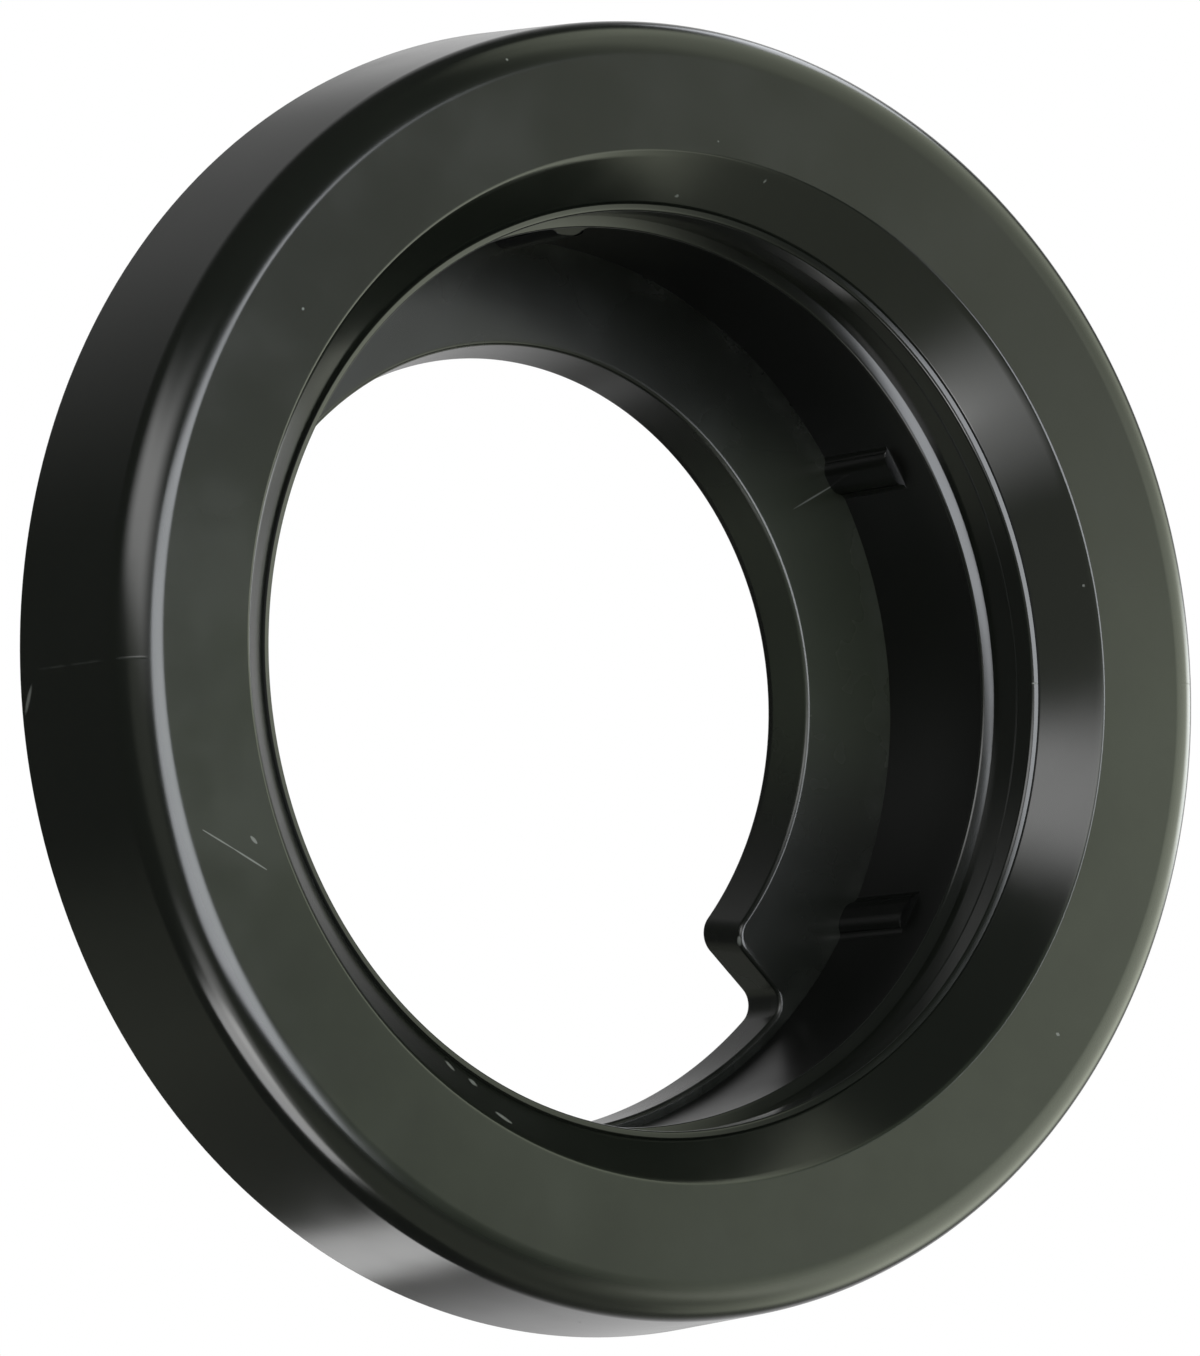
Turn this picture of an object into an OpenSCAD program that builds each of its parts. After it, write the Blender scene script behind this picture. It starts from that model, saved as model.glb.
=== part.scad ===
// Lamp-mounting grommet: a ring moulded in one shot from soft black rubber.
// It snaps into a round hole in a panel, and a round marker lamp snaps into it from the front.
// The ring stands upright, as in a vertical panel: +Z is up, the axis lies along Y, and the
// lamp goes in from -Y. The origin is on the axis, in the plane of the panel's outer skin.

/* [Lamp seat] */
// Diameter of the pocket that grips the lamp's rim
pocket_d = 62.3; // [58:0.1:64]
// Smallest diameter of the retaining lip in front of the pocket
lip_d = 60.8; // [56:0.1:62]
// Length of the lip's straight land
lip_land = 3.2; // [1:0.1:4]
// Clear length of the pocket, from the back of the lip to the ledge
pocket_length = 11.7; // [8:0.1:16]

/* [Panel] */
// Diameter of the panel hole that the groove fits
panel_hole_d = 76.2; // [74:0.1:78]
// Width of the groove that holds the panel
panel_groove = 3.2; // [1.5:0.1:4]

/* [Front flange] */
// Diameter of the flange at its rear rim, where it is widest
flange_d = 88.9; // [84:0.1:96]
// How far the flange stands in front of the panel
flange_depth = 12.5; // [11:0.1:16]
// Draft of the outer wall, in degrees
wall_draft = 5; // [0:0.5:8]
// Radius of the front outer corner
corner_r = 2.75; // [1:0.05:4]
// Diameter of the flat face's inner edge, where the lead-in cone starts
face_inner_d = 69; // [67:0.1:72]

/* [Rear ledge] */
// Diameter of the opening through the ledge
ledge_hole_d = 46.6; // [40:0.1:50]
// Thickness of the ledge
ledge_t = 4; // [3:0.1:6]
// Half of the angle that the harness notch spans
notch_half_angle = 45; // [30:1:55]
// Radius of the notch's outer wall
notch_r = 30.3; // [28:0.1:30.6]

/* [Panel barb] */
// Diameter of the barb that traps the panel from behind
barb_d = 80.8; // [78:0.1:82]
// Diameter at the rear end of the barb's taper
barb_rear_d = 71.4; // [70:0.1:76]

/* [Locating ribs] */
// Height of each rib above the pocket wall
rib_height = 0.85; // [0.4:0.05:1.2]
// Radius of each rib's rounded back
rib_back_r = 1.6; // [1.2:0.1:3]
// Length of each rib, forward from the ledge
rib_length = 7.4; // [4:0.1:11]
// Angle between one rib and the next
rib_pitch = 60; // [45:15:60]

/* [Hidden] */
$fn = 360;
black_rubber = [0.17, 0.18, 0.17];
face_y = -flange_depth;               // plane of the flat front face
face_inner_r = face_inner_d / 2;      // also where the flange, lip and sleeve zones meet
flange_r = flange_d / 2;
wall_slope = tan(wall_draft);
rim_round = 0.5;                      // small radius on the exposed rear rims
lip_r = lip_d / 2;
cone_depth = 3.25;                    // the lead-in cone ends in a crease this far behind the face
crease_r = lip_r + 1.15;              // radius of that crease
bead_depth = 1.65;                    // the rounded bead runs from the crease to the land
lip_heel = 0.6;                       // radius of the lip's rear corner
pocket_r = pocket_d / 2;
pocket_y = face_y + cone_depth + bead_depth + lip_land + lip_heel;
ledge_y = pocket_y + pocket_length;
rear_y = ledge_y + ledge_t;
ledge_hole_r = ledge_hole_d / 2;
ledge_round = 0.9;                    // radius of the ledge's inner rear edge
ledge_nose = 0.35;                    // radius of the ledge's inner front edge
hole_draft = 0.5;                     // the hole is this much wider in radius at its front
notch_foot_r = 2;                     // fillet where the notch's side meets its outer wall
notch_corner_r = 2.4;                 // round where the notch's side meets the hole
panel_hole_r = panel_hole_d / 2;
barb_r = barb_d / 2;
barb_tip = 0.8;                       // radius of the barb's rounded tip
rib_nose = 0.45;                      // chamfer at each rib's front end
arc_steps = 8;

// Points on an arc about centre, from one angle to another
function arc(centre, r, from, to, steps = arc_steps) =
    [for (i = [0:steps]) let (a = from + (to - from) * i / steps) centre + r * [cos(a), sin(a)]];

// Radius of the flange's drafted outer wall at depth y
function wall_r(y) = flange_r + wall_slope * y;

// A revolved profile given as [radius, y] points
module ring(points) {
    rotate([-90, 0, 0])
        rotate_extrude() polygon(points);
}

// A flat outline, drawn as seen from the front, given thickness from y0 back to y1
module slab(y0, y1) {
    translate([0, y1, 0])
        rotate([90, 0, 0])
            linear_extrude(y1 - y0) children();
}

// Outer zone: the flat face, the rounded front corner, the plain outer wall and the panel seat
module front_flange() {
    corner_y = face_y + corner_r;
    corner_centre = [wall_r(corner_y) - corner_r / cos(wall_draft), corner_y];
    rim_centre = [wall_r(-rim_round) - rim_round / cos(wall_draft), -rim_round];
    color(black_rubber)
        ring(concat(
            [[face_inner_r, face_y]],
            arc(corner_centre, corner_r, -90, -wall_draft, 12),
            arc(rim_centre, rim_round, -wall_draft, 90),
            [[face_inner_r, 0]]));
}

// The lead-in cone, the rounded bead at its foot, the straight land and the undercut heel
module retaining_lip() {
    crease = [crease_r, face_y + cone_depth];
    land_y = crease[1] + bead_depth;
    bead_r = (pow(crease_r - lip_r, 2) + bead_depth * bead_depth) / (2 * (crease_r - lip_r));
    bead_centre = [lip_r + bead_r, land_y];
    crease_angle = atan2(crease[1] - bead_centre[1], crease[0] - bead_centre[0]);
    heel_centre = [lip_r + lip_heel, land_y + lip_land];
    color(black_rubber)
        ring(concat(
            [[face_inner_r, face_y], [face_inner_r, pocket_y]],
            arc(heel_centre, lip_heel, 90, 180),
            arc(bead_centre, bead_r, -180, crease_angle)));
}

// The tube that joins the lip to the ledge; the lamp's rim sits inside it
module lamp_sleeve() {
    color(black_rubber)
        slab(pocket_y, rear_y)
            difference() {
                circle(face_inner_r);
                circle(pocket_r);
            }
}

// The floor of the groove that the panel's edge sits in
module groove_band() {
    color(black_rubber)
        slab(0, panel_groove)
            difference() {
                circle(panel_hole_r);
                circle(face_inner_r);
            }
}

// The tapered barb that is squeezed through the hole and traps the panel from behind
module panel_barb() {
    rear_r = barb_rear_d / 2;
    tip_centre = [barb_r - barb_tip, panel_groove + barb_tip];
    taper = atan2(barb_r - rear_r, rear_y - panel_groove - barb_tip);
    color(black_rubber)
        ring(concat(
            [[face_inner_r, panel_groove]],
            arc(tip_centre, barb_tip, -90, taper),
            arc([rear_r - rim_round, rear_y - rim_round], rim_round, taper, 90),
            [[face_inner_r, rear_y]]));
}

// Outline of the open notch in the ledge, with its rounded corners, drawn for both sides
module notch_outline() {
    side = notch_half_angle - 90;
    along = [cos(side), sin(side)];
    inward = [-sin(side), cos(side)];
    foot = along * sqrt(pow(notch_r - notch_foot_r, 2) - pow(notch_foot_r, 2)) - inward * notch_foot_r;
    corner = along * sqrt(pow(ledge_hole_r + notch_corner_r, 2) - pow(notch_corner_r, 2))
             + inward * notch_corner_r;
    foot_angle = atan2(foot[1], foot[0]);
    corner_angle = atan2(corner[1], corner[0]) - 180;
    half = concat(
        arc([0, 0], notch_r, -90, foot_angle, 16),
        arc(foot, notch_foot_r, foot_angle, side + 90),
        arc(corner, notch_corner_r, side - 90, corner_angle),
        [[0, 0]]);
    polygon(half);
    mirror([1, 0]) polygon(half);
}

// The stop that the back of the lamp rests against, cut away at the bottom for its plug
module rear_ledge() {
    front_r = ledge_hole_r + hole_draft;
    color(black_rubber)
        difference() {
            ring(concat(
                [[pocket_r, ledge_y]],
                [[pocket_r, rear_y]],
                arc([ledge_hole_r + ledge_round, rear_y - ledge_round], ledge_round, 90, 180),
                arc([front_r + ledge_nose, ledge_y + ledge_nose], ledge_nose, 180, 270)));
            slab(ledge_y - 1, rear_y + 1) notch_outline();
        }
}

// One locating rib, made at the top of the pocket wall and turned from there towards +X
module locating_rib(turn) {
    crest_r = pocket_r - rib_height;
    nose_y = ledge_y - rib_length;
    color(black_rubber)
        rotate([0, turn, 0])
            intersection() {
                slab(nose_y, ledge_y)
                    intersection() {
                        circle(pocket_r);
                        translate([0, crest_r + rib_back_r]) circle(rib_back_r);
                    }
                ring([[crest_r - 1, ledge_y + 1], [crest_r - 1, nose_y + rib_nose + 1],
                      [crest_r, nose_y + rib_nose], [crest_r + rib_nose, nose_y],
                      [pocket_r + 1, nose_y], [pocket_r + 1, ledge_y + 1]]);
            }
}

module rib_top() { locating_rib(0); }
module rib_upper_right() { locating_rib(rib_pitch); }
module rib_lower_right() { locating_rib(2 * rib_pitch); }
module rib_upper_left() { locating_rib(-rib_pitch); }
module rib_lower_left() { locating_rib(-2 * rib_pitch); }

front_flange();
retaining_lip();
lamp_sleeve();
groove_band();
panel_barb();
rear_ledge();
rib_top();
rib_upper_right();
rib_lower_right();
rib_upper_left();
rib_lower_left();
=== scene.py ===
# %% [markdown]
# # A rubber lamp grommet
#
# A grommet like this is one moulding of soft black rubber. It snaps into a round hole in a
# panel, and a round lamp snaps into it from the front. The CAD frame holds its real sizes. This
# notebook makes each zone of the moulding again as a smooth ring with softened edges, because
# a glossy black object shows its shape only through the way that highlights run along its edges.

# %% Load the frame
from math import atan2, cos, hypot, pi, radians, sin, sqrt, tan

import bmesh
import bpy
from mathutils import Matrix, Vector


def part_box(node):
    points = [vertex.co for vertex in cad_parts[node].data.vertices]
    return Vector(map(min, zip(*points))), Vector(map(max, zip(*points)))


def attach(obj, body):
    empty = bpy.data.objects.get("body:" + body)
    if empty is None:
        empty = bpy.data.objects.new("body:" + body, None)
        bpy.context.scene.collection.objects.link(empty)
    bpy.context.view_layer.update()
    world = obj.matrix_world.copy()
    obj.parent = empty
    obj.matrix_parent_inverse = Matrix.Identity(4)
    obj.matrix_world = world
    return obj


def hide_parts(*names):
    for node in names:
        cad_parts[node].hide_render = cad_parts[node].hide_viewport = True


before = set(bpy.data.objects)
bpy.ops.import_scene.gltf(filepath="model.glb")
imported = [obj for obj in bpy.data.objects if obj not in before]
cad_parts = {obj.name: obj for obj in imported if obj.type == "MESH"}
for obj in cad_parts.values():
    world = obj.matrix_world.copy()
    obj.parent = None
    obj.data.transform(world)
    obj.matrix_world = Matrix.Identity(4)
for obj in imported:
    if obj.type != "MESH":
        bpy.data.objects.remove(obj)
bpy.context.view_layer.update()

MM = 0.001
WELD = 0.001 * MM             # points closer than this become one
print("CAD nodes:", ", ".join(sorted(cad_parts)))

# %% [markdown]
# ## Sizes from the frame
#
# The ring's axis lies along Y, and the lamp goes in from -Y. A node's box gives its front and
# back depth. Its nearest and furthest points from the axis give the radii. Reading them here
# means that the rings below fit each other and the CAD without a second set of numbers.

# %% Radii and depths
def radii(node):
    """Smallest and largest distance of a node's points from the ring's axis."""
    reach = [hypot(v.co.x, v.co.z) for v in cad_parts[node].data.vertices]
    return min(reach), max(reach)


def depths(node):
    """Front and back depth of a node, along Y."""
    low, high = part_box(node)
    return low.y, high.y


face_inner_r, flange_r = radii("front_flange")
face_y, seat_y = depths("front_flange")
lip_r = radii("retaining_lip")[0]
pocket_y = depths("retaining_lip")[1]
pocket_r = radii("lamp_sleeve")[0]
rear_y = depths("lamp_sleeve")[1]
groove_r = radii("groove_band")[1]
barb_y = depths("groove_band")[1]
barb_r = radii("panel_barb")[1]
hole_r = radii("rear_ledge")[0]
ledge_y = depths("rear_ledge")[0]
ledge_depth = rear_y - ledge_y
print(f"flange {2 * flange_r / MM:.1f} mm, pocket {2 * pocket_r / MM:.1f} mm across")
print(f"depth {(rear_y - face_y) / MM:.1f} mm")

# %% [markdown]
# ## The camera
#
# The camera stands to the left of the ring's axis, level with its lowest edge, and looks through
# a long lens from about half a metre. A long lens keeps the circles close to true ellipses.

# %% Camera
VIEW_AZIMUTH = radians(-34.15)
VIEW_ELEVATION = radians(-4.64)
VIEW_ROLL = radians(-1.68)
VIEW_DISTANCE = 554.4 * MM
VIEW_AIM = Vector((1.1, 0, 0.2)) * MM
LENS = 245.25                 # focal length in millimetres
SENSOR_WIDTH = 36
CLEAR_OF_LENS = 0.4           # nothing nearer than this is drawn, in metres
FLOOR_Z = -44.45 * MM         # the ring stands on its rim


def add_camera():
    away = Vector((
        sin(VIEW_AZIMUTH) * cos(VIEW_ELEVATION),
        -cos(VIEW_AZIMUTH) * cos(VIEW_ELEVATION),
        sin(VIEW_ELEVATION),
    ))
    data = bpy.data.cameras.new("camera")
    data.sensor_fit = "HORIZONTAL"
    data.sensor_width = SENSOR_WIDTH
    data.lens = LENS
    data.clip_start = CLEAR_OF_LENS
    camera = bpy.data.objects.new("camera", data)
    bpy.context.scene.collection.objects.link(camera)
    level = (-away).to_track_quat("-Z", "Y").to_matrix().to_4x4()
    place = Matrix.Translation(VIEW_AIM + away * VIEW_DISTANCE)
    camera.matrix_world = place @ level @ Matrix.Rotation(VIEW_ROLL, 4, "Z")
    bpy.context.scene.camera = camera
    return camera


camera = add_camera()
print("camera at", [round(c / MM) for c in camera.location], "mm")

# %% [markdown]
# ## Rings by spinning a section
#
# Every zone but the ribs is a turned shape, so a lathe's way of working suits it: draw half of
# the cross-section, soften its corners, and spin it about the axis. The section lies in the XY
# plane, where X is the distance from the axis and Y is the depth. It starts as a filled circle
# with one vertex for each corner. Beveling a vertex rounds that corner, and deleting the fill
# before the spin leaves a closed skin with nothing inside it.

# %% Section helpers
SPIN_STEPS = 288


def deselect():
    bpy.ops.object.select_all(action="DESELECT")


def section(name, corners):
    """A filled outline through corners, given as (distance from the axis, depth)."""
    deselect()
    bpy.ops.mesh.primitive_circle_add(vertices=len(corners), radius=10 * MM, fill_type="NGON")
    piece = bpy.context.object
    piece.name = piece.data.name = name
    bpy.ops.object.mode_set(mode="EDIT")
    bpy.ops.mesh.select_mode(type="VERT")
    mesh = bmesh.from_edit_mesh(piece.data)
    for vertex, (distance, depth) in zip(mesh.verts, corners):
        vertex.co = (distance, depth, 0)
    bmesh.update_edit_mesh(piece.data)
    return piece


def soften(piece, corner, offset, steps=6):
    """Rounds the section's corner at (distance, depth), starting offset away along its sides."""
    mesh = bmesh.from_edit_mesh(piece.data)
    nearest = min(mesh.verts, key=lambda v: hypot(v.co.x - corner[0], v.co.y - corner[1]))
    bpy.ops.mesh.select_all(action="DESELECT")
    nearest.select_set(True)
    mesh.select_flush(True)
    bmesh.update_edit_mesh(piece.data)
    bpy.ops.mesh.bevel(offset=offset, segments=steps, affect="VERTICES", clamp_overlap=False)


def spin(piece, steps=SPIN_STEPS):
    """Turns the open section into a closed ring about the Y axis."""
    bpy.ops.mesh.select_all(action="SELECT")
    bpy.ops.mesh.delete(type="ONLY_FACE")
    bpy.ops.mesh.select_all(action="SELECT")
    bpy.ops.mesh.spin(steps=steps, angle=2 * pi, center=(0, 0, 0), axis=(0, 1, 0))
    bpy.ops.mesh.select_all(action="SELECT")
    bpy.ops.mesh.remove_doubles(threshold=WELD)
    bpy.ops.mesh.normals_make_consistent(inside=False)
    bpy.ops.object.mode_set(mode="OBJECT")
    return piece


def finish_piece(piece, node, finish, sharp=radians(20)):
    """Smooths the shading, gives the piece its finish and lets it stand for its CAD node."""
    deselect()
    piece.select_set(True)
    bpy.context.view_layer.objects.active = piece
    bpy.ops.object.shade_smooth_by_angle(angle=sharp)
    flatten = piece.modifiers.new("weighted normals", "WEIGHTED_NORMAL")
    flatten.weight = 100
    flatten.keep_sharp = True
    bpy.ops.object.modifier_apply(modifier=flatten.name)
    piece.data.materials.clear()
    piece.data.materials.append(FINISHES[finish])
    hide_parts(node)
    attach(piece, "root")
    print(piece.name, len(piece.data.polygons), "faces")
    return piece


# %% [markdown]
# ## Building with node groups
#
# Six effects make this rubber look real: its surface, bloom, dust, specks, scratches and the line
# where the mould parted. The bloom's band by height also paints shade, and one of the lines drawn
# as scratches is a painted highlight. Every zone uses them at its own strength. Each one is a
# shader node group with named inputs, built once. A group only works out a mask or a height, and
# the material decides what to do with it. These helpers keep the node code short.

# %% Node helpers
def put(tree, socket, value):
    """Links another node's output to the socket, or sets the socket to a value."""
    if isinstance(value, bpy.types.NodeSocket):
        tree.links.new(value, socket)
    else:
        socket.default_value = value


def math_node(tree, operation, *values, clamp=False):
    node = tree.nodes.new("ShaderNodeMath")
    node.operation = operation
    node.use_clamp = clamp
    for socket, value in zip(node.inputs, values):
        put(tree, socket, value)
    return node.outputs[0]


def vector_node(tree, operation, *values, output="Vector", **named):
    node = tree.nodes.new("ShaderNodeVectorMath")
    node.operation = operation
    for socket, value in zip(node.inputs, values):
        put(tree, socket, value)
    for name, value in named.items():
        put(tree, node.inputs[name], value)
    return node.outputs[output]


def ramp(tree, value, start, end):
    """0 at start and 1 at end, with smooth ends."""
    node = tree.nodes.new("ShaderNodeMapRange")
    node.interpolation_type = "SMOOTHSTEP"
    put(tree, node.inputs["Value"], value)
    put(tree, node.inputs["From Min"], start)
    put(tree, node.inputs["From Max"], end)
    return node.outputs["Result"]


def noise(tree, vector, scale, detail=2, roughness=0.5):
    node = tree.nodes.new("ShaderNodeTexNoise")
    settings = {"Vector": vector, "Scale": scale, "Detail": detail, "Roughness": roughness}
    for name, value in settings.items():
        put(tree, node.inputs[name], value)
    return node.outputs["Fac"]


def group_with(name, inputs, output):
    """A shader node group with inputs given as (name, type, value) and one number as its output."""
    tree = bpy.data.node_groups.new(name, "ShaderNodeTree")
    for title, kind, value in inputs:
        socket = tree.interface.new_socket(title, in_out="INPUT", socket_type="NodeSocket" + kind)
        if value is not None:
            socket.default_value = value
    tree.interface.new_socket(output, in_out="OUTPUT", socket_type="NodeSocketFloat")
    given = tree.nodes.new("NodeGroupInput").outputs
    result = tree.nodes.new("NodeGroupOutput").inputs[output]
    return tree, given, result


def use_group(tree, group, **values):
    """Places a group. A value's name is the input's name in small letters."""
    node = tree.nodes.new("ShaderNodeGroup")
    node.node_tree = group
    for socket in node.inputs:
        key = socket.name.lower().replace(" ", "_")
        if key in values:
            put(tree, socket, values[key])
    return node.outputs[0]


# %% [markdown]
# ## The moulded surface
#
# Rubber copies its mould. A lathe left faint rings in the mould's steel, the polish left a grain,
# and the soft part itself comes out slightly wavy. All three are heights of a few thousandths of
# a millimetre, too small for the mesh, so they go to a Bump node. The groups work in millimetres,
# because that makes their numbers easy to judge.

# %% Surface height
def surface_group():
    tree, given, height = group_with(
        "moulded surface",
        [
            ("Position", "Vector", None),
            ("Wave", "Float", 0.01),
            ("Turning", "Float", 0.001),
            ("Grain", "Float", 0.001),
        ],
        "Height",
    )
    split = tree.nodes.new("ShaderNodeSeparateXYZ")
    tree.links.new(given["Position"], split.inputs[0])
    flat = vector_node(tree, "MULTIPLY", given["Position"], (1, 0, 1))
    lathe = tree.nodes.new("ShaderNodeCombineXYZ")
    tree.links.new(vector_node(tree, "LENGTH", flat, output="Value"), lathe.inputs["X"])
    tree.links.new(split.outputs["Y"], lathe.inputs["Y"])
    wave = math_node(tree, "MULTIPLY", noise(tree, given["Position"], 0.09, 1), given["Wave"])
    rings = math_node(tree, "MULTIPLY", noise(tree, lathe.outputs[0], 2.6, 3), given["Turning"])
    grain = math_node(tree, "MULTIPLY", noise(tree, given["Position"], 5, 3, 0.6), given["Grain"])
    tree.links.new(math_node(tree, "ADD", math_node(tree, "ADD", wave, rings), grain), height)
    return tree


# %% [markdown]
# ## Bloom and painted shade
#
# Wax and sulphur come up to the surface of black rubber as a dull grey-green haze, called bloom.
# Its mask is full at one level and gone further up or down, which paints shade into it: on the
# face the haze leaves the top darker, and on the ledge it lights a band across the middle. It
# lies only on surfaces in front of a given depth, such as the flat face, and slow noise makes it
# patchy.

# %% Bloom with painted shade, dust and specks
def bloom_and_shade_group():
    tree, given, mask = group_with(
        "bloom",
        [
            ("Position", "Vector", None),
            ("Level", "Float", 0),
            ("Full", "Float", 10),
            ("Reach", "Float", 30),
            ("Back", "Float", 0),
            ("Mottle", "Float", 0.3),
        ],
        "Mask",
    )
    split = tree.nodes.new("ShaderNodeSeparateXYZ")
    tree.links.new(given["Position"], split.inputs[0])
    away = math_node(tree, "ABSOLUTE", math_node(tree, "SUBTRACT", split.outputs["Z"], given["Level"]))
    # painted shade: the haze is full at its level and fades out above and below it
    band = ramp(tree, away, given["Reach"], given["Full"])
    front = ramp(tree, split.outputs["Y"], math_node(tree, "ADD", given["Back"], 0.25), given["Back"])
    patches = ramp(tree, noise(tree, given["Position"], 0.08, 4, 0.6), 0.3, 0.7)
    kept = math_node(tree, "SUBTRACT", 1, math_node(tree, "MULTIPLY", patches, given["Mottle"]))
    tree.links.new(math_node(tree, "MULTIPLY", math_node(tree, "MULTIPLY", band, front), kept), mask)
    return tree


def dust_group():
    """Pale dust that collects in a ring, such as an inside corner."""
    tree, given, mask = group_with(
        "dust ring",
        [
            ("Position", "Vector", None),
            ("Radius", "Float", 30),
            ("Width", "Float", 1),
            ("Back", "Float", 0),
        ],
        "Mask",
    )
    flat = vector_node(tree, "MULTIPLY", given["Position"], (1, 0, 1))
    off = math_node(tree, "SUBTRACT", vector_node(tree, "LENGTH", flat, output="Value"), given["Radius"])
    depth = vector_node(tree, "DOT_PRODUCT", given["Position"], (0, 1, 0), output="Value")
    in_front = math_node(tree, "LESS_THAN", depth, given["Back"])
    ring = ramp(tree, math_node(tree, "ABSOLUTE", off), given["Width"], 0)
    near = math_node(tree, "MULTIPLY", ring, in_front)
    patches = ramp(tree, noise(tree, given["Position"], 0.35, 3, 0.6), 0.3, 0.9)
    tree.links.new(math_node(tree, "MULTIPLY", near, patches), mask)
    return tree


def speck_group():
    """Scattered dust specks, one to some of the cells of a Voronoi texture."""
    tree, given, mask = group_with(
        "specks", [("Position", "Vector", None), ("Scale", "Float", 0.3), ("Density", "Float", 0.2)], "Mask"
    )
    cells = tree.nodes.new("ShaderNodeTexVoronoi")
    tree.links.new(given["Position"], cells.inputs["Vector"])
    tree.links.new(given["Scale"], cells.inputs["Scale"])
    dot = ramp(tree, cells.outputs["Distance"], 0.035, 0.02)
    lot = vector_node(tree, "DOT_PRODUCT", cells.outputs["Color"], (1, 0, 0), output="Value")
    chosen = math_node(tree, "LESS_THAN", lot, given["Density"])
    tree.links.new(math_node(tree, "MULTIPLY", dot, chosen), mask)
    return tree


# %% [markdown]
# ## Scratches, a painted highlight and the parting line
#
# A scratch is a short straight line with thin ends. The same line also paints one highlight on
# the ledge. The group measures how far a point of the surface is from that line, so a scratch
# stays where it is put on any shape. The two halves of the mould met in a level plane, which left
# a hairline on the outer wall, left and right.

# %% Scratch, painted highlight and parting line
def scratch_and_highlight_group():
    tree, given, mask = group_with(
        "scratch_and_highlight",
        [
            ("Position", "Vector", None),
            ("Start", "Vector", None),
            ("End", "Vector", None),
            ("Width", "Float", 0.1),
        ],
        "Mask",
    )
    line = vector_node(tree, "SUBTRACT", given["End"], given["Start"])
    offset = vector_node(tree, "SUBTRACT", given["Position"], given["Start"])
    along = vector_node(tree, "DOT_PRODUCT", offset, line, output="Value")
    length = vector_node(tree, "DOT_PRODUCT", line, line, output="Value")
    part = math_node(tree, "DIVIDE", along, length, clamp=True)
    nearest = vector_node(tree, "SCALE", line, Scale=part)
    distance = vector_node(tree, "DISTANCE", offset, nearest, output="Value")
    middle = math_node(tree, "MULTIPLY", part, math_node(tree, "SUBTRACT", 1, part))
    width = math_node(tree, "MULTIPLY", given["Width"], math_node(tree, "MULTIPLY_ADD", middle, 2, 0.5))
    tree.links.new(ramp(tree, distance, width, math_node(tree, "MULTIPLY", width, 0.3)), mask)
    return tree


def parting_group():
    """A broken hairline in a level plane, only beyond a given distance from the axis."""
    tree, given, mask = group_with(
        "parting line",
        [
            ("Position", "Vector", None),
            ("Level", "Float", 0),
            ("Radius", "Float", 40),
            ("Width", "Float", 0.1),
        ],
        "Mask",
    )
    split = tree.nodes.new("ShaderNodeSeparateXYZ")
    tree.links.new(given["Position"], split.inputs[0])
    off = math_node(tree, "ABSOLUTE", math_node(tree, "SUBTRACT", split.outputs["Z"], given["Level"]))
    flat = vector_node(tree, "MULTIPLY", given["Position"], (1, 0, 1))
    beyond = math_node(tree, "SUBTRACT", vector_node(tree, "LENGTH", flat, output="Value"), given["Radius"])
    outside = ramp(tree, beyond, 0, 1)
    gaps = ramp(tree, noise(tree, given["Position"], 0.6, 2), 0.42, 0.55)
    broken = math_node(tree, "MULTIPLY", outside, gaps)
    tree.links.new(math_node(tree, "MULTIPLY", ramp(tree, off, given["Width"], 0), broken), mask)
    return tree


GROUPS = {
    "surface": surface_group(),
    "bloom": bloom_and_shade_group(),
    "dust": dust_group(),
    "specks": speck_group(),
    "scratch_and_highlight": scratch_and_highlight_group(),
    "parting": parting_group(),
}
print("node groups:", ", ".join(GROUPS))

# %% [markdown]
# ## Black rubber in four finishes
#
# The rubber is the same everywhere, but its gloss isn't. The face, the corner and the cone were
# polished in the mould. The pocket was left duller, its ribs were cut with a smoother tool, and
# the ledge is almost matt. The pocket, the groove band and the ribs also get a darker black than
# the rest, which is painted shade for the recess. The ledge shows grey-green where the pocket
# beside it stays black: that is the bloom's colour, laid in a band that is painted light. One
# function makes all four finishes.

# %% Finishes
BLACK = (0.0075, 0.009, 0.007, 1)
# painted shade: a darker black for the pocket, the groove band and the ribs in the recess
SHADED_BLACK = (0.0035, 0.004, 0.0035, 1)
BLOOM_AND_SHADE_TONE = (0.03, 0.036, 0.026, 1)
PALE = (0.14, 0.15, 0.14, 1)
PARTING = {"level": -0.4, "radius": 41, "width": 0.12}
PARTING_SHOWS = 0.1           # how pale the parting line is, from 0 to 1
PARTING_STANDS = 0.006        # how high it stands, in millimetres
DUST_SHOWS = 0.14
face_mm = face_y / MM
ledge_mm = ledge_y / MM
# Each mark: start, end and width in millimetres
FRONT_MARKS = [
    ((-38.3, face_mm, -11.4), (-36, face_mm, -12.6), 0.07),
    ((-36, face_mm, -12.6), (-33.6, face_mm, -13.9), 0.08),
    ((-34.7, face_mm, -11.8), (-34.3, face_mm, -12.2), 0.16),
    ((29.4, face_mm, -24.6), (29.6, face_mm, -24.7), 0.17),
    ((1.8, -9.7, 31.9), (2, -9.8, 31.9), 0.2),
    ((7.7, -11.7, 32.9), (7.8, -11.9, 33.3), 0.15),
    ((-18.6, -9.8, -26.2), (-18.2, -10, -26.7), 0.35),
    ((-16.8, -9.8, -27.4), (-16.4, -9.9, -27.7), 0.4),
    ((-15.8, -11.4, -29.6), (-14.8, -11.6, -30.2), 0.3),
    ((-44.4, -1.6, -1.2), (-44.4, -0.5, -3.4), 0.3),
    ((-38.4, -10.3, 20.7), (-38.9, -9.6, 21), 0.2),
    ((31.3, -9.3, -0.3), (30.8, -9.1, -0.3), 0.1),
]
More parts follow.
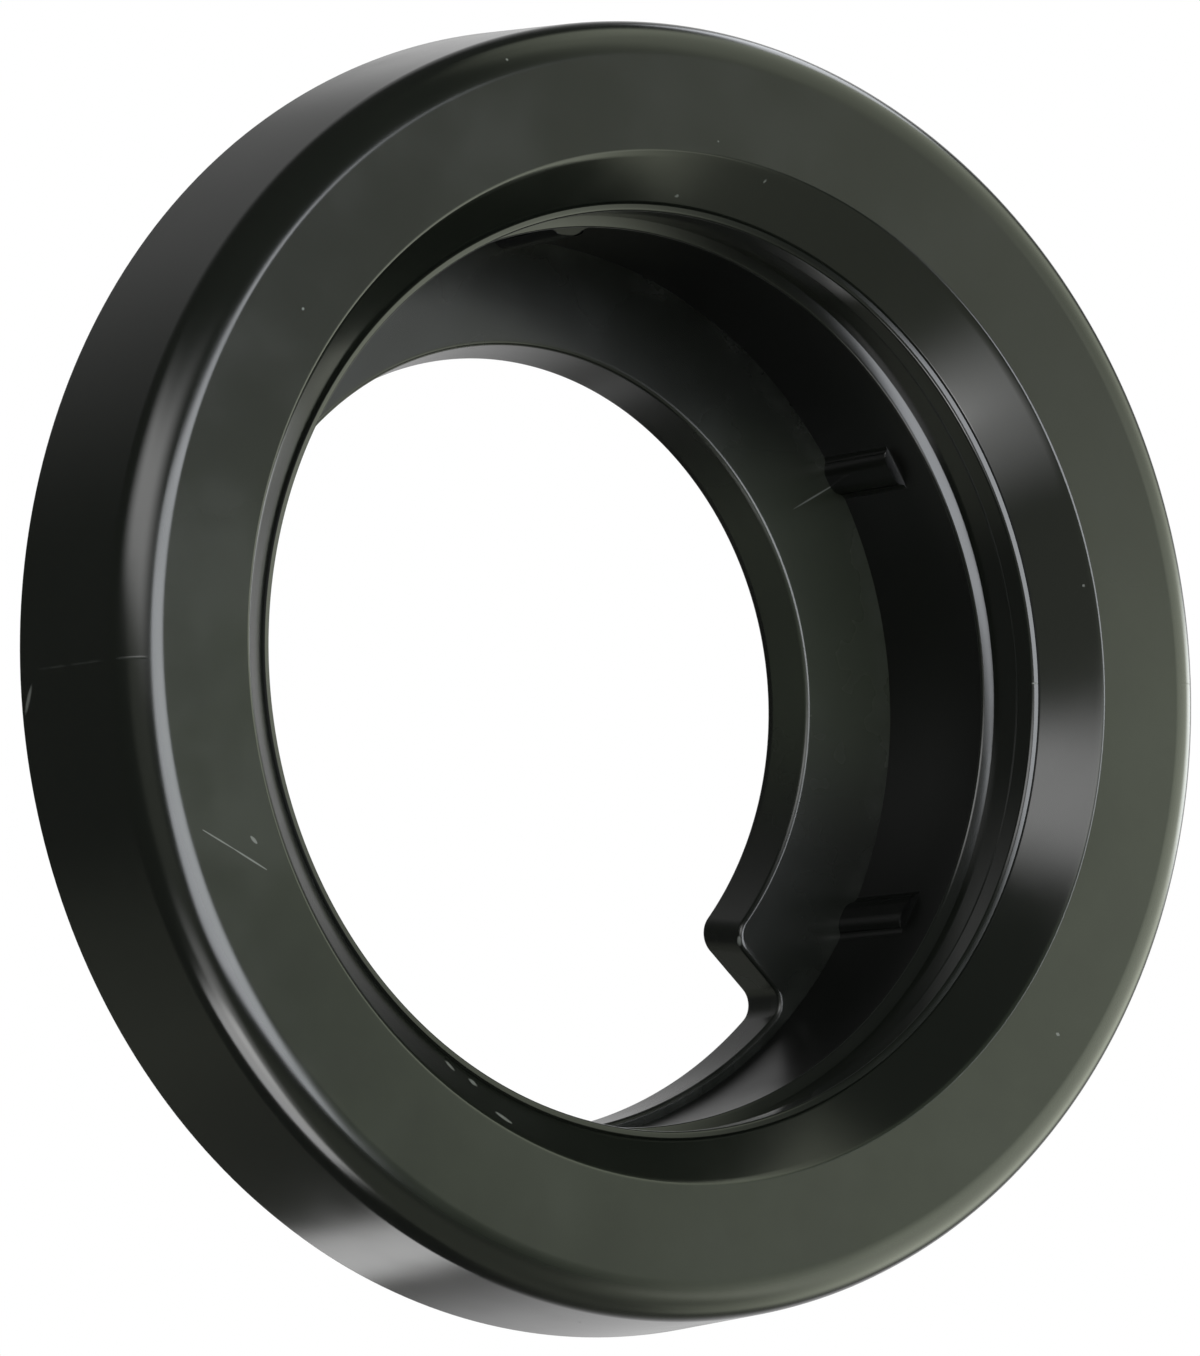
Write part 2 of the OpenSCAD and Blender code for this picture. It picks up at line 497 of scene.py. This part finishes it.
LEDGE_MARKS_AND_HIGHLIGHT = [
    ((22.6, ledge_mm, 12.9), (26.7, ledge_mm, 15), 0.09),
    # not a scratch: a painted highlight on the ledge's front edge at the notch's corner
    ((17.3, ledge_mm + 0.1, -17.9), (17.6, ledge_mm + 0.1, -16.9), 0.3),
]


def mixed(tree, amount, base, over):
    node = tree.nodes.new("ShaderNodeMix")
    node.data_type = "RGBA"
    put(tree, node.inputs["Factor"], amount)
    put(tree, node.inputs["A"], base)
    put(tree, node.inputs["B"], over)
    return node.outputs["Result"]


def rubber(name, black, roughness, haze, bloom, surface, specks=0.1, dust=None, marks=()):
    """One finish of the rubber. The haze is how much of the bloom's colour shows at most, and the bloom's
    band by height is painted shade.
    """
    material = bpy.data.materials.new(name)
    material.use_nodes = True
    tree = material.node_tree
    shader = tree.nodes["Principled BSDF"]
    metres = tree.nodes.new("ShaderNodeTexCoord").outputs["Object"]
    position = vector_node(tree, "SCALE", metres, Scale=1 / MM)
    bloom_and_shade_mask = use_group(tree, GROUPS["bloom"], position=position, **bloom)
    cloud = math_node(tree, "MULTIPLY", bloom_and_shade_mask, haze)
    line = use_group(tree, GROUPS["parting"], position=position, **PARTING)
    pale = math_node(tree, "MULTIPLY", line, PARTING_SHOWS)
    dots = use_group(tree, GROUPS["specks"], position=position, density=specks)
    pale = math_node(tree, "MAXIMUM", pale, dots)
    for start, end, width in marks:
        mark = use_group(tree, GROUPS["scratch_and_highlight"], position=position, start=start, end=end, width=width)
        pale = math_node(tree, "MAXIMUM", pale, mark)
    if dust:
        ring = use_group(tree, GROUPS["dust"], position=position, **dust)
        pale = math_node(tree, "MAXIMUM", pale, math_node(tree, "MULTIPLY", ring, DUST_SHOWS))
    base = mixed(tree, cloud, black, BLOOM_AND_SHADE_TONE)
    put(tree, shader.inputs["Base Color"], mixed(tree, pale, base, PALE))
    smudge = ramp(tree, noise(tree, position, 0.11, 3, 0.6), 0.35, 0.7)
    duller = math_node(tree, "MULTIPLY_ADD", pale, 0.3, roughness)
    put(tree, shader.inputs["Roughness"], math_node(tree, "MULTIPLY_ADD", smudge, 0.05, duller))
    height = use_group(tree, GROUPS["surface"], position=position, **surface)
    bump = tree.nodes.new("ShaderNodeBump")
    bump.inputs["Distance"].default_value = MM
    put(tree, bump.inputs["Height"], math_node(tree, "MULTIPLY_ADD", line, PARTING_STANDS, height))
    put(tree, shader.inputs["Normal"], bump.outputs[0])
    print(name, len(tree.nodes), "nodes")
    return material


FINISHES = {
    "polished": rubber(
        "polished rubber", BLACK, roughness=0.15, haze=0.72,
        # painted shade: the bloom band gives full haze on the lower face and none at the top
        bloom={"level": -40, "full": 34, "reach": 64, "back": face_mm, "mottle": 0.35},
        surface={"wave": 0.02, "turning": 0.0007, "grain": 0.0005},
        marks=FRONT_MARKS,
    ),
    "pocket": rubber(
        # painted shade: a darker black for the pocket's recess
        "shaded pocket rubber", SHADED_BLACK, roughness=0.3, haze=0, bloom={"back": face_mm},
        surface={"wave": 0.02, "turning": 0.0016, "grain": 0.0012}, specks=0.03,
    ),
    "rib": rubber(
        # painted shade: a darker black for the ribs inside the pocket
        "shaded rib rubber", SHADED_BLACK, roughness=0.15, haze=0, bloom={"back": face_mm},
        surface={"wave": 0.02, "turning": 0.0007, "grain": 0.0012}, specks=0.03,
    ),
    "ledge": rubber(
        "ledge rubber", BLACK, roughness=0.24, haze=1,
        # painted light: the bloom band lightens the ledge and hole across the middle, not at top or bottom
        bloom={"level": 5, "full": 5, "reach": 17, "back": ledge_mm + 3.2, "mottle": 0.15},
        surface={"wave": 0.05, "turning": 0.0012, "grain": 0.0022},
        dust={"radius": pocket_r / MM - 0.3, "width": 1.6, "back": ledge_mm + 1},
        marks=LEDGE_MARKS_AND_HIGHLIGHT,
    ),
}

# %% [markdown]
# ## The front flange
#
# The flange is what shows in front of the panel: a flat face, a rounded corner and a plain wall
# with a little draft, so that it leaves the mould. The corner makes the long highlight down the
# left side, so it gets the most segments. The flange carries a strip of the cone's surface, which
# keeps the seam between two pieces away from the edge where the cone starts.

# %% Front flange
OVERLAP = 0.4 * MM            # the flange carries this much of the cone, so no seam lies on an edge
CORNER_R = 2.75 * MM
FACE_EDGE = 0.12 * MM
REAR_EDGE = 0.4 * MM
WALL_DRAFT = radians(5)
CONE_DEPTH = 3.25 * MM
LIP_HEIGHT = 1.15 * MM        # from the end of the cone in to the lip
crease_r = lip_r + LIP_HEIGHT
cone_slope = CONE_DEPTH / (face_inner_r - crease_r)
front_r = flange_r - (seat_y - face_y) * tan(WALL_DRAFT)
cone_start = (face_inner_r - OVERLAP, face_y + OVERLAP * cone_slope)


def front_flange():
    inner_back = (face_inner_r - OVERLAP, seat_y)
    inner_front = (face_inner_r, face_y)
    corner = (front_r, face_y)
    rim = (flange_r, seat_y)
    piece = section("front_flange_moulding", [cone_start, inner_front, corner, rim, inner_back])
    soften(piece, inner_front, FACE_EDGE, 3)
    soften(piece, corner, CORNER_R * tan((pi / 2 - WALL_DRAFT) / 2), 14)
    soften(piece, rim, REAR_EDGE, 4)
    return finish_piece(spin(piece), "front_flange", "polished")


front_flange()

# %% [markdown]
# ## The retaining lip
#
# The lamp's rim is pushed down the cone and snaps in behind this lip. The lip carries two beads
# with a shallow valley between them, so that only two narrow lines rub on the lamp. Each bead
# catches its own bright line, and a fine groove draws a dark one beside it. The crease where the
# cone ends isn't beveled: that edge is sharp in the mould, and smoothing it would bend the
# reflection on the whole cone.

# %% Retaining lip
GROOVE_R, GROOVE_DEPTH = 0.12 * MM, 0.24 * MM
GROOVE_WIDTH = 0.26 * MM
FRONT_BEAD_R = lip_r + 0.45 * MM      # the rear bead stands further in than the front one
FRONT_BEAD_LENGTH = 2 * MM
FRONT_SLOPE = radians(15)             # the front of each bead leans back by this much
VALLEY_R = lip_r + 0.75 * MM
REAR_BEAD_LENGTH = 0.25 * MM
REAR_SLOPE = radians(21)
BEAD_ROUND = 0.2 * MM
HEEL_ROUND = 0.25 * MM
VALLEY_ROUND = 0.15 * MM
REAR_BEAD_ROUND = 0.14 * MM
REAR_HEEL_ROUND = 0.08 * MM
crease_y = face_y + CONE_DEPTH


def retaining_lip():
    crease = (crease_r, crease_y)
    groove = (crease_r - GROOVE_R, crease_y + GROOVE_DEPTH)
    shelf_r = crease_r - GROOVE_WIDTH
    front_bead = (FRONT_BEAD_R, crease_y + (shelf_r - FRONT_BEAD_R) * tan(FRONT_SLOPE))
    front_heel = (FRONT_BEAD_R, crease_y + FRONT_BEAD_LENGTH)
    rear_bead = (lip_r, pocket_y - REAR_BEAD_LENGTH)
    valley_end = (VALLEY_R, rear_bead[1] - (VALLEY_R - lip_r) * tan(REAR_SLOPE))
    valley_start = (VALLEY_R, front_heel[1] + VALLEY_R - FRONT_BEAD_R)
    rear_heel = (lip_r, pocket_y)
    back = (face_inner_r - OVERLAP, pocket_y)
    corners = [cone_start, crease, groove, (shelf_r, crease_y), front_bead, front_heel,
               valley_start, valley_end, rear_bead, rear_heel, back]
    piece = section("retaining_lip_moulding", corners)
    soften(piece, front_bead, BEAD_ROUND, 8)
    soften(piece, front_heel, HEEL_ROUND, 6)
    soften(piece, valley_start, VALLEY_ROUND, 4)
    soften(piece, rear_bead, REAR_BEAD_ROUND, 6)
    soften(piece, rear_heel, REAR_HEEL_ROUND, 3)
    return finish_piece(spin(piece), "retaining_lip", "polished")


retaining_lip()

# %% [markdown]
# ## Sleeve, groove and barb
#
# Behind the lip, a plain tube grips the lamp's rim. Outside it, the panel's edge sits in a groove
# with a square floor, and a tapered barb behind the groove holds the ring in its hole. All three
# are spun. The barb's tip is well rounded, because it has to squeeze through the hole.

# %% Sleeve, groove and barb
BARB_TIP = 0.8 * MM
BARB_SPARE = 0.3 * MM         # the tip's corner before rounding lies this far outside the barb
BARB_REAR_R = 35.7 * MM
BARB_REAR_ROUND = 0.5 * MM


def lamp_sleeve():
    front = [(pocket_r, pocket_y), (face_inner_r, pocket_y)]
    rear = [(face_inner_r, rear_y), (pocket_r, rear_y)]
    return finish_piece(spin(section("lamp_sleeve_moulding", front + rear)), "lamp_sleeve", "pocket")


def groove_band():
    front = [(face_inner_r, seat_y), (groove_r, seat_y)]
    rear = [(groove_r, barb_y), (face_inner_r, barb_y)]
    return finish_piece(spin(section("groove_band_moulding", front + rear)), "groove_band", "pocket")


def panel_barb():
    tip = (barb_r + BARB_SPARE, barb_y)
    rear = (BARB_REAR_R, rear_y)
    piece = section("panel_barb_moulding", [(face_inner_r, barb_y), tip, rear, (face_inner_r, rear_y)])
    soften(piece, tip, BARB_TIP, 8)
    soften(piece, rear, BARB_REAR_ROUND, 6)
    return finish_piece(spin(piece), "panel_barb", "polished")


lamp_sleeve()
groove_band()
panel_barb()

# %% [markdown]
# ## The rear ledge
#
# The back of the lamp rests on this ledge, and its plug leaves through the notch at the bottom.
# The notch breaks the round shape, so the ledge isn't spun. A bevel would also run into itself
# on the thin strip outside the notch. So the opening is drawn as one outline of arcs, and the
# skin grows from it ring by ring: a circle on the pocket's wall is extruded inwards, round the
# front edge, back through the opening, round the rear edge, and out to the wall again.

# %% The outline of the opening
NOTCH_R = 30.3 * MM
NOTCH_HALF = radians(45)
NOTCH_FOOT = 1.5 * MM
NOTCH_CORNER = 1.7 * MM


def polar(r, angle):
    return Vector((r * cos(angle), r * sin(angle)))


def arc(centre, r, start, end, steps):
    """Points after the first on an arc about centre."""
    return [centre + polar(r, start + (end - start) * i / steps) for i in range(1, steps + 1)]


def opening_outline(opening_r, notch_r, inset=0):
    """The opening seen from the front, anticlockwise from below, and moved inset into the rubber."""
    side = NOTCH_HALF - pi / 2
    along, inward = polar(1, side), polar(1, side + pi / 2)
    foot = along * sqrt((notch_r - NOTCH_FOOT) ** 2 - NOTCH_FOOT**2) - inward * NOTCH_FOOT
    corner = along * sqrt((opening_r + NOTCH_CORNER) ** 2 - NOTCH_CORNER**2) + inward * NOTCH_CORNER
    foot_angle = atan2(foot.y, foot.x)
    corner_angle = atan2(corner.y, corner.x)
    foot_r = NOTCH_FOOT + inset
    corner_r = NOTCH_CORNER - inset
    centre = Vector((0, 0))
    right = arc(centre, notch_r + inset, -pi / 2, foot_angle, 56)
    right += arc(foot, foot_r, foot_angle, side + pi / 2, 16)
    right.append(corner + polar(corner_r, side - pi / 2))
    right += arc(corner, corner_r, side - pi / 2, corner_angle - pi, 16)
    right += arc(centre, opening_r + inset, corner_angle, pi / 2, 160)
    left = [Vector((-p.x, p.y)) for p in reversed(right[:-1])]
    return right + left + [Vector((0, -notch_r - inset))]


# %% The ledge
HOLE_DRAFT = 0.5 * MM         # the hole is this much wider in radius at its front
LEDGE_RISE = 0.1 * MM         # the ledge comes forward by this much towards its hole
LEDGE_NOSE = 0.35 * MM
LEDGE_HEEL = 0.3 * MM
NOSE_STEPS = 8
HEEL_STEPS = 6


def ledge_rings():
    """The rings of points that the skin passes through, from the front of the wall to its back."""
    front_r, back_r = hole_r + HOLE_DRAFT, hole_r

    def ring(opening_r, inset, depth):
        return [Vector((p.x, depth, p.y)) for p in opening_outline(opening_r, NOTCH_R, inset)]

    def wall(depth):
        outline = opening_outline(front_r, NOTCH_R)
        return [Vector((p.x, depth, p.y)) for p in (q.normalized() * pocket_r for q in outline)]

    nose_y = ledge_y - LEDGE_RISE
    rings = [wall(ledge_y)]
    for i in range(NOSE_STEPS + 1):
        turn = i / NOSE_STEPS * pi / 2
        depth = nose_y + LEDGE_NOSE * (1 - cos(turn))
        rings.append(ring(front_r, LEDGE_NOSE * (1 - sin(turn)), depth))
    for i in range(HEEL_STEPS + 1):
        turn = i / HEEL_STEPS * pi / 2
        depth = rear_y - LEDGE_HEEL * (1 - sin(turn))
        rings.append(ring(back_r, LEDGE_HEEL * (1 - cos(turn)), depth))
    # In the notch the opening comes close to the wall, where the ledge hasn't risen yet
    for points in rings[1:]:
        for point in points:
            fall = (pocket_r - hypot(point.x, point.z)) / (pocket_r - front_r)
            point.y += max(0, 1 - fall) * LEDGE_RISE * max(0, 1 - (point.y - ledge_y) / ledge_depth)
    return rings + [wall(rear_y)]


def rear_ledge():
    rings = ledge_rings()
    deselect()
    bpy.ops.mesh.primitive_circle_add(vertices=len(rings[0]), radius=pocket_r)
    piece = bpy.context.object
    piece.name = piece.data.name = "rear_ledge_moulding"
    bpy.ops.object.mode_set(mode="EDIT")
    bpy.ops.mesh.select_mode(type="EDGE")
    mesh = bmesh.from_edit_mesh(piece.data)
    place = mesh.verts.layers.int.new("place")
    for i, vertex in enumerate(mesh.verts):
        vertex[place] = i
        vertex.co = rings[0][i]
    bpy.ops.mesh.select_all(action="SELECT")
    for ring in rings[1:]:
        bpy.ops.mesh.extrude_edges_move()
        mesh = bmesh.from_edit_mesh(piece.data)
        place = mesh.verts.layers.int["place"]
        for vertex in mesh.verts:
            if vertex.select:
                vertex.co = ring[vertex[place]]
        bmesh.update_edit_mesh(piece.data)
    bpy.ops.mesh.select_all(action="DESELECT")
    bpy.ops.mesh.select_non_manifold()
    bpy.ops.mesh.bridge_edge_loops()
    bpy.ops.mesh.select_all(action="SELECT")
    bpy.ops.mesh.remove_doubles(threshold=WELD)
    bpy.ops.mesh.normals_make_consistent(inside=False)
    bpy.ops.object.mode_set(mode="OBJECT")
    return finish_piece(piece, "rear_ledge", "ledge")


rear_ledge()

# %% [markdown]
# ## Locating ribs
#
# Five low ribs on the pocket's wall crush against the lamp and centre it. A rib is a short bar
# with a round back, and small fillets where the mould cutter's edge was rounded. Its section is
# drawn with straight sides, then its top corners and its foot corners are beveled, and it is
# extruded along the pocket. The rib at the top is the pattern, and the others are turned copies.

# %% Ribs
RIB_TOP = 0.85 * MM           # half the width of the crest before it is rounded
RIB_SIDE = 1.4 * MM           # half the width at the foot of the sides
RIB_FOOT = 1.85 * MM          # half the width with the fillets
RIB_ROUND = 0.5 * MM
RIB_FILLET = 0.3 * MM
RIB_NOSE = 0.2 * MM
RIB_EASE = 0.15 * MM          # the crest lies this much nearer the wall than the CAD's
RIB_PITCH = radians(60)
RIB_SINK = 0.15 * MM          # the section starts this far inside the wall, so no gap can show
# Turns by one pitch, clockwise from the top as seen from the front
RIBS = {
    "rib_top": 0,
    "rib_upper_right": 1,
    "rib_lower_right": 2,
    "rib_upper_left": -1,
    "rib_lower_left": -2,
}
rib_front, rib_end = depths("rib_top")
rib_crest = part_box("rib_top")[0].z + RIB_EASE


def on_wall(x):
    """A point just at the pocket's wall, x to the side of the top."""
    return (x, sqrt(pocket_r**2 - x**2))


def top_rib():
    sunk = pocket_r + RIB_SINK
    right = [(RIB_TOP, rib_crest), on_wall(RIB_SIDE), on_wall(RIB_FOOT), (RIB_FOOT, sunk)]
    left = [(-x, z) for x, z in reversed(right)]
    piece = section("rib_pattern", right + left)
    soften(piece, right[0], RIB_ROUND, 8)
    soften(piece, left[-1], RIB_ROUND, 8)
    soften(piece, right[1], RIB_FILLET, 5)
    soften(piece, left[-2], RIB_FILLET, 5)
    bpy.ops.mesh.select_all(action="SELECT")
    bpy.ops.mesh.extrude_region_move(TRANSFORM_OT_translate={"value": (0, 0, rib_end - rib_front)})
    mesh = bmesh.from_edit_mesh(piece.data)
    for vertex in mesh.verts:
        vertex.co = (vertex.co.x, rib_end - vertex.co.z, vertex.co.y)
    bpy.ops.mesh.select_mode(type="EDGE")
    bpy.ops.mesh.select_all(action="DESELECT")
    for edge in mesh.edges:
        ends = [v.co for v in edge.verts]
        at_front = all(abs(p.y - rib_front) < 0.01 * MM for p in ends)
        above_wall = all(hypot(p.x, p.z) < pocket_r - 0.1 * MM for p in ends)
        edge.select_set(at_front and above_wall)
    bmesh.update_edit_mesh(piece.data)
    bpy.ops.mesh.bevel(offset=RIB_NOSE, segments=4, affect="EDGES")
    bpy.ops.mesh.select_all(action="SELECT")
    bpy.ops.mesh.normals_make_consistent(inside=False)
    bpy.ops.object.mode_set(mode="OBJECT")
    return piece


def locating_ribs():
    pattern = top_rib()
    for node, turns in RIBS.items():
        piece = bpy.data.objects.new(node + "_moulding", pattern.data.copy())
        piece.data.name = piece.name
        bpy.context.scene.collection.objects.link(piece)
        piece.data.transform(Matrix.Rotation(turns * RIB_PITCH, 4, "Y"))
        finish_piece(piece, node, "rib")
    bpy.data.objects.remove(pattern)


locating_ribs()

# %% [markdown]
# ## Floor and light
#
# A glossy black object is lit by what it mirrors. In a studio it stands in front of a white sheet
# with softboxes hung round it, and each one shows as a bright shape with clean edges along the
# rounded corners. The studio here is painted into the world: one node group turns the direction
# of a ray into a mask for a rectangle round the object, and each light is one use of it.
# The camera stands just below the floor's level, so the floor lets light through from below.

# %% Floor
def add_floor():
    deselect()
    bpy.ops.mesh.primitive_plane_add(size=6, location=(0, 0, FLOOR_Z))
    floor = bpy.context.object
    floor.name = "floor"
    floor.visible_glossy = False
    material = bpy.data.materials.new("pale floor")
    material.use_nodes = True
    tree = material.node_tree
    shader = tree.nodes["Principled BSDF"]
    shader.inputs["Base Color"].default_value = (0.8, 0.8, 0.8, 1)
    shader.inputs["Roughness"].default_value = 0.9
    choose = tree.nodes.new("ShaderNodeMixShader")
    tree.links.new(tree.nodes.new("ShaderNodeNewGeometry").outputs["Backfacing"], choose.inputs["Fac"])
    tree.links.new(shader.outputs[0], choose.inputs[1])
    tree.links.new(tree.nodes.new("ShaderNodeBsdfTransparent").outputs[0], choose.inputs[2])
    tree.links.new(choose.outputs[0], tree.nodes["Material Output"].inputs["Surface"])
    floor.data.materials.append(material)
    return floor


add_floor()

# %% A reusable softbox
def fade(tree, distance, softness):
    """1 inside, 0 outside, with an edge of the given softness at a distance of 1 from the middle."""
    outer = math_node(tree, "ADD", 1, softness)
    inner = math_node(tree, "SUBTRACT", 1, softness)
    return ramp(tree, distance, outer, inner)


def softbox_group():
    """A mask for a rectangle round the object. In degrees, azimuth 0 is the front and 90 the right."""
    tree, given, mask = group_with(
        "softbox",
        [
            ("Direction", "Vector", None),
            ("Azimuth", "Float", 0),
            ("Elevation", "Float", 0),
            ("Half Width", "Float", 20),
            ("Half Height", "Float", 10),
            ("Lean", "Float", 0),
            ("Slant", "Float", 0),
            ("Softness", "Float", 0.1),
        ],
        "Mask",
    )
    split = tree.nodes.new("ShaderNodeSeparateXYZ")
    tree.links.new(given["Direction"], split.inputs[0])
    front = math_node(tree, "MULTIPLY", split.outputs["Y"], -1)
    azimuth = math_node(tree, "DEGREES", math_node(tree, "ARCTAN2", split.outputs["X"], front))
    elevation = math_node(tree, "DEGREES", math_node(tree, "ARCSINE", split.outputs["Z"]))
    off_side = math_node(tree, "WRAP", math_node(tree, "SUBTRACT", azimuth, given["Azimuth"]), 180, -180)
    above = math_node(tree, "SUBTRACT", elevation, given["Elevation"])
    rise = math_node(tree, "DIVIDE", above, given["Half Height"])
    slanted = math_node(tree, "SUBTRACT", off_side, math_node(tree, "MULTIPLY", rise, given["Slant"]))
    across = math_node(tree, "DIVIDE", slanted, given["Half Width"])
    leaning = math_node(tree, "SUBTRACT", above, math_node(tree, "MULTIPLY", across, given["Lean"]))
    up = math_node(tree, "DIVIDE", leaning, given["Half Height"])
    sides = fade(tree, math_node(tree, "ABSOLUTE", across), given["Softness"])
    ends = fade(tree, math_node(tree, "ABSOLUTE", up), given["Softness"])
    tree.links.new(math_node(tree, "MULTIPLY", sides, ends), mask)
    return tree


# %% The studio
NEUTRAL, WARM, GREEN, COOL = (1, 1, 1), (1, 1.05, 0.88), (0.95, 1.02, 0.8), (0.97, 1, 1.05)
ROOM_LIGHT = 0.05
# name: tint, strength, azimuth, elevation, half width, half height, lean, slant, softness
STUDIO = {
    "key softbox": (COOL, 7.2, 3, -4, 17, 19, 0, 10, 0.12),
    "side softbox": (NEUTRAL, 4, -57, 24, 33, 12, -6, 0, 0.6),
    "table bounce": (NEUTRAL, 6.2, -79, -58, 26, 15, 0, 0, 0.15),
    "table edge": (NEUTRAL, 2.2, -57, -44, 15, 12, 0, 0, 0.6),
    "left wall": (WARM, 0.3, -50, -8, 20, 20, 0, 0, 0.5),
    "right wall": (WARM, 1.2, 77, -16, 38, 25, 0, 0, 0.3),
    "right room": (GREEN, 1.2, 71, 8, 35, 58, 0, 0, 0.3),
    "window slot": (COOL, 2.6, 103, 2, 14, 5, 0, 0, 0.4),
    "window": (COOL, 2.8, 118, 38, 13, 7, 0, 0, 0.3),
    "floor bounce": (GREEN, 0.3, 30, -66, 100, 30, 0, 0, 0.4),
    "backdrop": (NEUTRAL, 0.7, 142, -4, 15, 34, 0, 0, 0.5),
    "backdrop top": (NEUTRAL, 0.3, 172, 36, 34, 14, 0, 0, 0.6),
    "backdrop foot": (NEUTRAL, 2.2, 166, -35, 5, 6, 0, 0, 0.5),
    "floor side": (GREEN, 0.5, 90, -50, 20, 9, 0, 0, 0.5),
    "ceiling": (GREEN, 0.45, 82, 66, 26, 10, 0, 0, 0.5),
    "rear card": (NEUTRAL, 0.9, 180, 2, 15, 13, 0, 0, 0.5),
    "floor glow": (GREEN, 0.16, -168, -28, 26, 10, 0, 0, 0.6),
}


def studio_world():
    world = bpy.data.worlds.new("studio")
    bpy.context.scene.world = world
    world.use_nodes = True
    tree = world.node_tree
    group = softbox_group()
    direction = tree.nodes.new("ShaderNodeTexCoord").outputs["Generated"]
    total = None
    for name, (tint, strength, *shape) in STUDIO.items():
        box = tree.nodes.new("ShaderNodeGroup")
        box.node_tree = group
        box.name = name
        tree.links.new(direction, box.inputs["Direction"])
        for socket, value in zip(list(box.inputs)[1:], shape):
            socket.default_value = value
        add = tree.nodes.new("ShaderNodeVectorMath")
        add.operation = "MULTIPLY_ADD"
        tree.links.new(box.outputs["Mask"], add.inputs[0])
        add.inputs[1].default_value = [strength * c for c in tint]
        add.inputs[2].default_value = [ROOM_LIGHT] * 3
        if total:
            tree.links.new(total, add.inputs[2])
        total = add.outputs[0]
    room = tree.nodes["Background"]
    tree.links.new(total, room.inputs["Color"])
    sheet = tree.nodes.new("ShaderNodeBackground")
    sheet.inputs["Color"].default_value = (1, 1, 1, 1)
    seen = tree.nodes.new("ShaderNodeLightPath").outputs["Is Camera Ray"]
    choose = tree.nodes.new("ShaderNodeMixShader")
    tree.links.new(seen, choose.inputs["Fac"])
    tree.links.new(room.outputs[0], choose.inputs[1])
    tree.links.new(sheet.outputs[0], choose.inputs[2])
    tree.links.new(choose.outputs[0], tree.nodes["World Output"].inputs["Surface"])
    print(len(STUDIO), "lights in the studio")


studio_world()
bpy.context.scene.view_settings.view_transform = "Standard"
